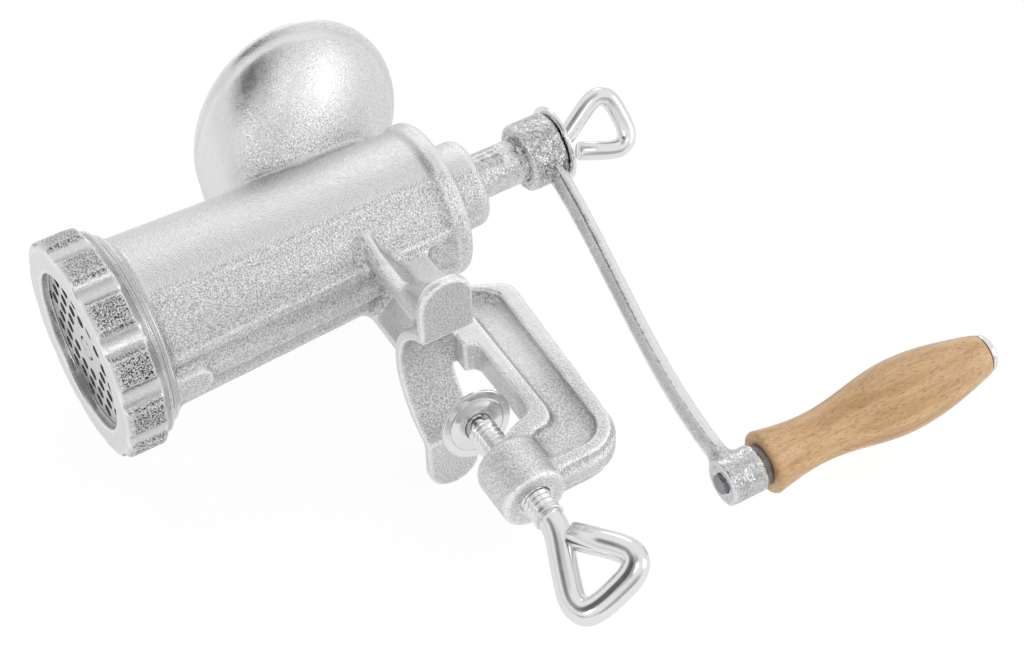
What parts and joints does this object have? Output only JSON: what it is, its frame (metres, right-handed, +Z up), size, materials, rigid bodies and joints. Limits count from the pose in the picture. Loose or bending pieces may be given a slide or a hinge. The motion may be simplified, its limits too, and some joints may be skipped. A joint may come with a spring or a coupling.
{
  "type": "meat grinder",
  "caption": "Clamp-on hand-cranked meat grinder with hopper, screwed ring, perforated plate, worm, crank with wooden grip and table clamp.",
  "frame": {"origin": "on the clamp screw's axis, in the plane of the two seat pads that rest on the table top", "axes": "+X to the side, +Y along the barrel towards the crank, +Z up to the hopper"},
  "size_m": [0.1012, 0.2749, 0.2442],
  "materials": {
    "casting": "tinned, fine sand-cast grain, half matt",
    "iron": "tinned, fine sand-cast grain with a slight sparkle",
    "steel": "bright drawn steel",
    "plate_steel": "ground steel",
    "polished": "polished bright wire and sheet",
    "grey_steel": "dark grey, satin",
    "fibre": "hard fibre, matt",
    "beech": "turned beech under a satin lacquer"
  },
  "bodies": {
    "casting": {"barrel": "casting", "hopper": "casting", "leg": "casting", "jaw": "casting", "clamp_frame": "casting", "plate_key": "steel", "thrust_washer": "fibre"},
    "drive": {"worm": "iron", "knife_stud": "steel", "knife": "steel", "crank": "iron", "spindle": "steel", "grip_collar": "grey_steel", "grip_cap": "polished"},
    "handle": {"grip": "beech"},
    "cutting_plate": {"plate": "plate_steel"},
    "nut": {"ring_nut": "iron"},
    "dished_washer": {"washer": "polished"},
    "wing": {"thumb_screw": "polished"},
    "screw_tip": {"pad_rivet": "steel"},
    "clamp_spindle": {"clamp_screw": "polished"},
    "pad": {"swivel_pad": "polished"}
  },
  "joints": [
    {"name": "crank_turn", "type": "hinge", "parent": "casting", "child": "drive", "pos_m": [0, 0, 0.0794], "axis": [0, 1, 0], "continuous": true},
    {"name": "grip_turn", "type": "hinge", "parent": "drive", "child": "handle", "pos_m": [-0.02473, 0, -0.0653], "axis": [0, 1, 0], "continuous": true},
    {"name": "plate_feed", "type": "slide", "parent": "casting", "child": "cutting_plate", "axis": [0, -1, 0], "range_m": [0, 0.0125]},
    {"name": "nut_turn", "type": "hinge", "parent": "cutting_plate", "child": "nut", "pos_m": [0, 0, 0.0794], "axis": [0, -1, 0], "range_deg": [0, 1800]},
    {"name": "washer_feed", "type": "slide", "parent": "drive", "child": "dished_washer", "axis": [0, 1, 0], "range_m": [0, 0.0125]},
    {"name": "thumb_turn", "type": "hinge", "parent": "dished_washer", "child": "wing", "pos_m": [0, 0, 0.0794], "axis": [0, 1, 0], "range_deg": [0, 3600]},
    {"name": "clamp_feed", "type": "slide", "parent": "casting", "child": "screw_tip", "axis": [0, 0, 1], "range_m": [-0.008, 0.012]},
    {"name": "clamp_turn", "type": "hinge", "parent": "screw_tip", "child": "clamp_spindle", "pos_m": [0, 0, 0], "axis": [0, 0, 1], "range_deg": [-1440, 2160]},
    {"name": "pad_tilt", "type": "hinge", "parent": "screw_tip", "child": "pad", "pos_m": [0, 0, -0.0193], "axis": [0, 1, 0], "range_deg": [-1.5, 25.5]}
  ],
  "couplings": [
    {"joint": "plate_feed", "follows": "nut_turn", "m_per_rad": 0.00039789},
    {"joint": "thumb_turn", "follows": "washer_feed", "rad_per_m": 5026.5},
    {"joint": "clamp_turn", "follows": "clamp_feed", "rad_per_m": 3141.6}
  ]
}
